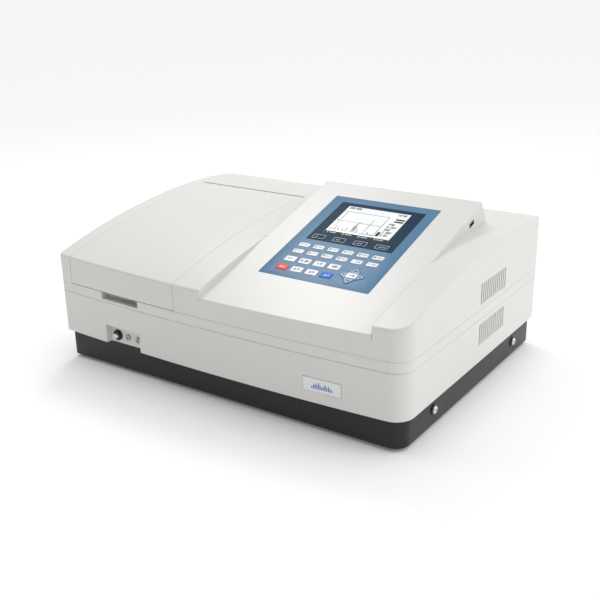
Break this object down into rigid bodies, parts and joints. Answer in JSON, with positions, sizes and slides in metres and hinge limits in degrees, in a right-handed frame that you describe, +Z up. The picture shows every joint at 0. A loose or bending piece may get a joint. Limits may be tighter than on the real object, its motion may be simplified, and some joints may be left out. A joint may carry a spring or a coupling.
{
  "type": "spectrophotometer",
  "caption": "Bench-top spectrophotometer with a hinged sample lid, pull-rod cell holder, sloping keypad and screen console, vented case and rear mains panel.",
  "frame": {"origin": "on the bench, under the middle of the case's bounding box", "axes": "+X to the right along the long side, as seen by the person at the keypad; -Y towards that person; +Z up"},
  "size_m": [0.625, 0.4628, 0.265],
  "materials": {
    "shell_white": "satin, fine texture",
    "charcoal_paint": "satin powder coat",
    "rubber": "matt",
    "steel": "polished",
    "sheet_metal": "zinc plated",
    "cast_aluminium": "cast, painted",
    "black_anodised": "black anodised, matt",
    "black_plastic": "satin",
    "grey_metal": "turned",
    "plate_silver": "printed foil",
    "overlay_blue": "glossy film",
    "key_white": "embossed film",
    "key_red": "embossed film",
    "key_blue": "embossed film",
    "key_dark": "embossed film",
    "key_pad": "embossed film",
    "screen": "liquid crystal display, lit",
    "board_green": "solder mask",
    "grating_glass": "ruled, metallised"
  },
  "bodies": {
    "case": {"base_tray": "charcoal_paint", "foot_front_left": "rubber", "foot_rear_left": "rubber", "foot_front_right": "rubber", "foot_rear_right": "rubber", "base_screw_front_left": "steel", "base_screw_front_right": "steel", "base_screw_rear_left": "steel", "base_screw_rear_right": "steel", "lower_housing": "shell_white", "nameplate": "plate_silver", "port_plug_left": "grey_metal", "port_plug_right": "grey_metal", "upper_housing": "shell_white", "lid_hinge_pin": "steel", "keypad_overlay": "overlay_blue", "keypad_board": "board_green", "display_module": "screen", "usb_socket": "steel", "sample_chamber": "black_anodised", "rod_bushing": "black_plastic", "monochromator_case": "cast_aluminium", "lamp_house": "sheet_metal", "detector_module": "black_anodised", "power_supply": "sheet_metal", "main_board": "board_green", "rear_panel": "sheet_metal", "fan_frame": "black_plastic", "power_inlet": "black_plastic"},
    "lid": {"sample_lid": "shell_white"},
    "cell_slide": {"cell_carriage": "black_anodised", "pull_rod": "steel"},
    "fan": {"fan_impeller": "black_plastic"},
    "grating": {"diffraction_grating": "grating_glass"},
    "rocker": {"power_rocker": "black_plastic"},
    "key_digit_upper_1_button": {"key_digit_upper_1": "key_white"},
    "key_digit_upper_2_button": {"key_digit_upper_2": "key_white"},
    "key_digit_upper_3_button": {"key_digit_upper_3": "key_white"},
    "key_digit_upper_4_button": {"key_digit_upper_4": "key_white"},
    "key_digit_upper_5_button": {"key_digit_upper_5": "key_white"},
    "key_digit_upper_6_button": {"key_digit_upper_6": "key_white"},
    "key_digit_lower_1_button": {"key_digit_lower_1": "key_white"},
    "key_digit_lower_2_button": {"key_digit_lower_2": "key_white"},
    "key_digit_lower_3_button": {"key_digit_lower_3": "key_white"},
    "key_digit_lower_4_button": {"key_digit_lower_4": "key_white"},
    "key_digit_lower_5_button": {"key_digit_lower_5": "key_white"},
    "key_digit_lower_6_button": {"key_digit_lower_6": "key_white"},
    "key_command_1_button": {"key_command_1": "key_white"},
    "key_command_2_button": {"key_command_2": "key_white"},
    "key_command_3_button": {"key_command_3": "key_white"},
    "key_command_4_button": {"key_command_4": "key_white"},
    "key_action_1_button": {"key_action_1": "key_red"},
    "key_action_2_button": {"key_action_2": "key_white"},
    "key_action_3_button": {"key_action_3": "key_white"},
    "key_action_4_button": {"key_action_4": "key_blue"},
    "key_soft_1_button": {"key_soft_1": "key_dark"},
    "key_soft_2_button": {"key_soft_2": "key_dark"},
    "key_soft_3_button": {"key_soft_3": "key_dark"},
    "key_soft_4_button": {"key_soft_4": "key_dark"},
    "key_navigation_button": {"key_navigation": "key_pad"}
  },
  "joints": [
    {"name": "lid_hinge", "type": "hinge", "parent": "case", "child": "lid", "pos_m": [-0.17525, 0.109, 0.22187], "axis": [-1, 0, 0], "range_deg": [0, 85]},
    {"name": "cell_slide", "type": "slide", "parent": "case", "child": "cell_slide", "axis": [0, -1, 0], "range_m": [0, 0.054]},
    {"name": "fan_spin", "type": "hinge", "parent": "case", "child": "fan", "pos_m": [0.09, 0.219, 0.084], "axis": [0, 1, 0], "continuous": true},
    {"name": "grating_turn", "type": "hinge", "parent": "case", "child": "grating", "pos_m": [0.02, -0.05, 0.0566], "axis": [0, 0, 1], "range_deg": [-20, 30]},
    {"name": "power_rocker_tilt", "type": "hinge", "parent": "case", "child": "rocker", "pos_m": [-0.066, 0.2279, 0.084], "axis": [-1, 0, 0], "range_deg": [0, 16]},
    {"name": "press_digit_upper_1", "type": "slide", "parent": "case", "child": "key_digit_upper_1_button", "axis": [0, 0.284, -0.9588], "range_m": [0, 0.0005], "stiffness_N_per_m": 1500},
    {"name": "press_digit_upper_2", "type": "slide", "parent": "case", "child": "key_digit_upper_2_button", "axis": [0, 0.284, -0.9588], "range_m": [0, 0.0005], "stiffness_N_per_m": 1500},
    {"name": "press_digit_upper_3", "type": "slide", "parent": "case", "child": "key_digit_upper_3_button", "axis": [0, 0.284, -0.9588], "range_m": [0, 0.0005], "stiffness_N_per_m": 1500},
    {"name": "press_digit_upper_4", "type": "slide", "parent": "case", "child": "key_digit_upper_4_button", "axis": [0, 0.284, -0.9588], "range_m": [0, 0.0005], "stiffness_N_per_m": 1500},
    {"name": "press_digit_upper_5", "type": "slide", "parent": "case", "child": "key_digit_upper_5_button", "axis": [0, 0.284, -0.9588], "range_m": [0, 0.0005], "stiffness_N_per_m": 1500},
    {"name": "press_digit_upper_6", "type": "slide", "parent": "case", "child": "key_digit_upper_6_button", "axis": [0, 0.284, -0.9588], "range_m": [0, 0.0005], "stiffness_N_per_m": 1500},
    {"name": "press_digit_lower_1", "type": "slide", "parent": "case", "child": "key_digit_lower_1_button", "axis": [0, 0.284, -0.9588], "range_m": [0, 0.0005], "stiffness_N_per_m": 1500},
    {"name": "press_digit_lower_2", "type": "slide", "parent": "case", "child": "key_digit_lower_2_button", "axis": [0, 0.284, -0.9588], "range_m": [0, 0.0005], "stiffness_N_per_m": 1500},
    {"name": "press_digit_lower_3", "type": "slide", "parent": "case", "child": "key_digit_lower_3_button", "axis": [0, 0.284, -0.9588], "range_m": [0, 0.0005], "stiffness_N_per_m": 1500},
    {"name": "press_digit_lower_4", "type": "slide", "parent": "case", "child": "key_digit_lower_4_button", "axis": [0, 0.284, -0.9588], "range_m": [0, 0.0005], "stiffness_N_per_m": 1500},
    {"name": "press_digit_lower_5", "type": "slide", "parent": "case", "child": "key_digit_lower_5_button", "axis": [0, 0.284, -0.9588], "range_m": [0, 0.0005], "stiffness_N_per_m": 1500},
    {"name": "press_digit_lower_6", "type": "slide", "parent": "case", "child": "key_digit_lower_6_button", "axis": [0, 0.284, -0.9588], "range_m": [0, 0.0005], "stiffness_N_per_m": 1500},
    {"name": "press_command_1", "type": "slide", "parent": "case", "child": "key_command_1_button", "axis": [0, 0.284, -0.9588], "range_m": [0, 0.0005], "stiffness_N_per_m": 1500},
    {"name": "press_command_2", "type": "slide", "parent": "case", "child": "key_command_2_button", "axis": [0, 0.284, -0.9588], "range_m": [0, 0.0005], "stiffness_N_per_m": 1500},
    {"name": "press_command_3", "type": "slide", "parent": "case", "child": "key_command_3_button", "axis": [0, 0.284, -0.9588], "range_m": [0, 0.0005], "stiffness_N_per_m": 1500},
    {"name": "press_command_4", "type": "slide", "parent": "case", "child": "key_command_4_button", "axis": [0, 0.284, -0.9588], "range_m": [0, 0.0005], "stiffness_N_per_m": 1500},
    {"name": "press_action_1", "type": "slide", "parent": "case", "child": "key_action_1_button", "axis": [0, 0.284, -0.9588], "range_m": [0, 0.0005], "stiffness_N_per_m": 1500},
    {"name": "press_action_2", "type": "slide", "parent": "case", "child": "key_action_2_button", "axis": [0, 0.284, -0.9588], "range_m": [0, 0.0005], "stiffness_N_per_m": 1500},
    {"name": "press_action_3", "type": "slide", "parent": "case", "child": "key_action_3_button", "axis": [0, 0.284, -0.9588], "range_m": [0, 0.0005], "stiffness_N_per_m": 1500},
    {"name": "press_action_4", "type": "slide", "parent": "case", "child": "key_action_4_button", "axis": [0, 0.284, -0.9588], "range_m": [0, 0.0005], "stiffness_N_per_m": 1500},
    {"name": "press_soft_1", "type": "slide", "parent": "case", "child": "key_soft_1_button", "axis": [0, 0.284, -0.9588], "range_m": [0, 0.0005], "stiffness_N_per_m": 1500},
    {"name": "press_soft_2", "type": "slide", "parent": "case", "child": "key_soft_2_button", "axis": [0, 0.284, -0.9588], "range_m": [0, 0.0005], "stiffness_N_per_m": 1500},
    {"name": "press_soft_3", "type": "slide", "parent": "case", "child": "key_soft_3_button", "axis": [0, 0.284, -0.9588], "range_m": [0, 0.0005], "stiffness_N_per_m": 1500},
    {"name": "press_soft_4", "type": "slide", "parent": "case", "child": "key_soft_4_button", "axis": [0, 0.284, -0.9588], "range_m": [0, 0.0005], "stiffness_N_per_m": 1500},
    {"name": "press_navigation", "type": "slide", "parent": "case", "child": "key_navigation_button", "axis": [0, 0.284, -0.9588], "range_m": [0, 0.0005], "stiffness_N_per_m": 1500}
  ]
}
